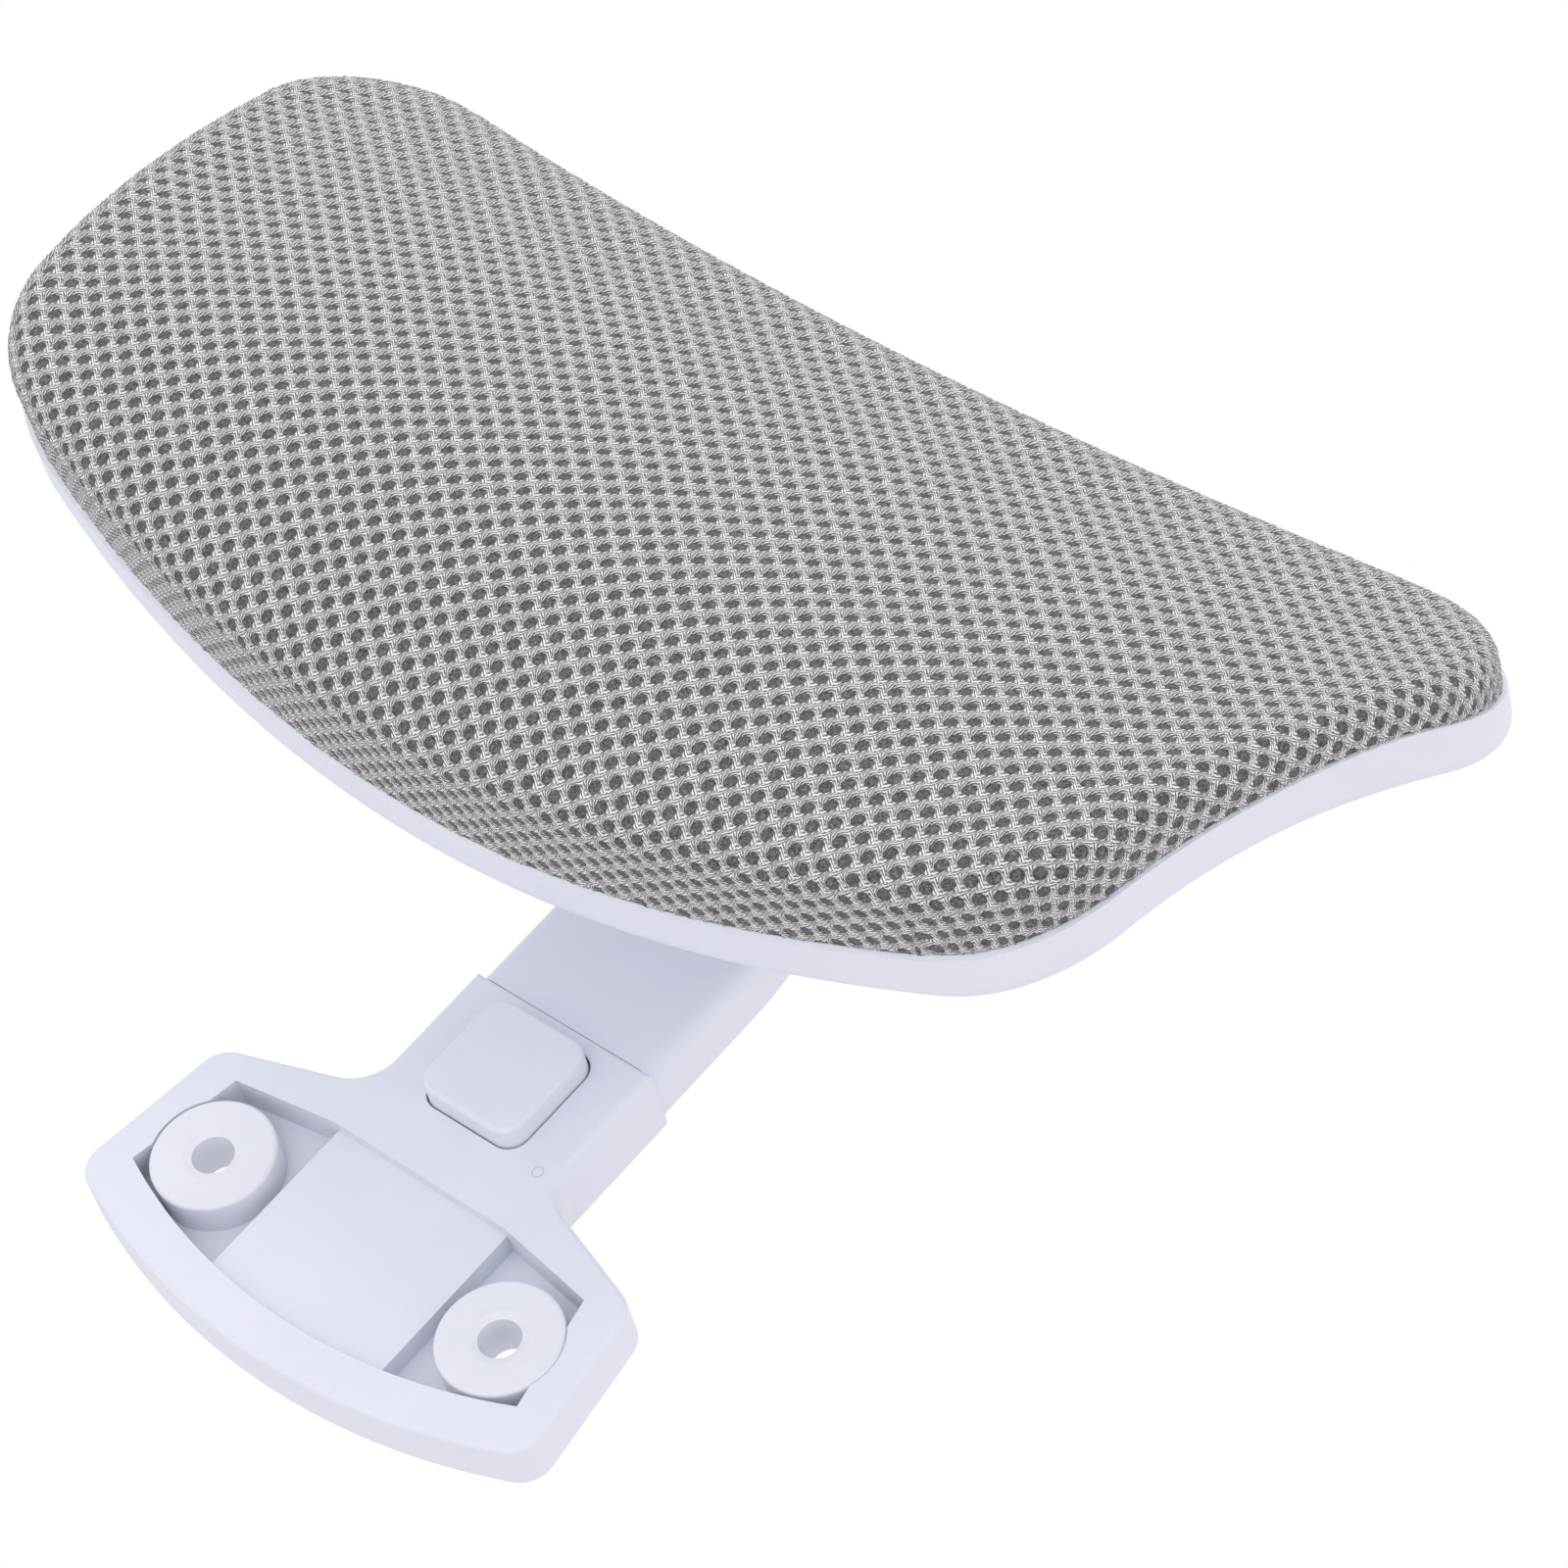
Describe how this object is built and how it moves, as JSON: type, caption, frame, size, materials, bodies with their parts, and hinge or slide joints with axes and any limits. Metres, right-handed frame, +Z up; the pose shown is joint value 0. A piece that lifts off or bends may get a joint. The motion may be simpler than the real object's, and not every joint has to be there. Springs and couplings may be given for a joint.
{
  "type": "office chair headrest attachment",
  "caption": "Curved mesh-covered headrest pad on a tilting hinge and a height-adjustable arm that slides in a T-shaped screw-on bracket with a push-button latch.",
  "frame": {"origin": "midway between the two bolt holes, on the bracket's mating face", "axes": "+X to the right facing the pad, +Y to the back, +Z up along the arm's travel"},
  "size_m": [0.2948, 0.133, 0.2186],
  "materials": {
    "white_plastic": "moulded polypropylene, fine grain on the sides",
    "bush_nylon": "natural nylon, slightly translucent",
    "washer_nylon": "natural nylon",
    "zinc_screws": "zinc plated",
    "spring_steel": "drawn wire",
    "latch_steel": "pressed strip",
    "hinge_steel": "zinc plated",
    "board_plastic": "moulded",
    "cushion_foam": "open-cell polyurethane foam",
    "backing_fabric": "knitted backing",
    "mesh_fabric": "3-D spacer mesh, diamond lattice of round holes"
  },
  "bodies": {
    "bracket": {"bracket_front_housing": "white_plastic", "bracket_rear_housing": "white_plastic", "screw_bush_left": "bush_nylon", "screw_bush_right": "bush_nylon", "housing_screws": "zinc_screws", "button_springs": "spring_steel"},
    "button": {"push_button": "white_plastic", "latch_frame": "latch_steel"},
    "arm": {"headrest_arm": "white_plastic", "arm_stop_screw": "zinc_screws", "hinge_bush": "bush_nylon"},
    "pad": {"hinge_bracket": "hinge_steel", "hinge_bracket_screws": "zinc_screws", "hinge_friction_washers": "washer_nylon", "hinge_pin": "hinge_steel", "hinge_spring_washer": "spring_steel", "hinge_pin_cap": "hinge_steel", "pad_shell": "white_plastic", "cushion_board": "board_plastic", "board_screws": "zinc_screws", "foam_cushion": "cushion_foam", "cover_backing": "backing_fabric", "mesh_cover": "mesh_fabric"}
  },
  "joints": [
    {"name": "height_slide", "type": "slide", "parent": "bracket", "child": "arm", "axis": [0, 0, 1], "range_m": [0, 0.048]},
    {"name": "pad_tilt", "type": "hinge", "parent": "arm", "child": "pad", "pos_m": [0, -0.052, 0.124], "axis": [1, 0, 0], "range_deg": [-25, 25]},
    {"name": "button_press", "type": "slide", "parent": "bracket", "child": "button", "axis": [0, 1, 0], "range_m": [0, 0.0022], "stiffness_N_per_m": 1500, "springref_m": -0.001, "deforming": ["button_springs"]}
  ]
}
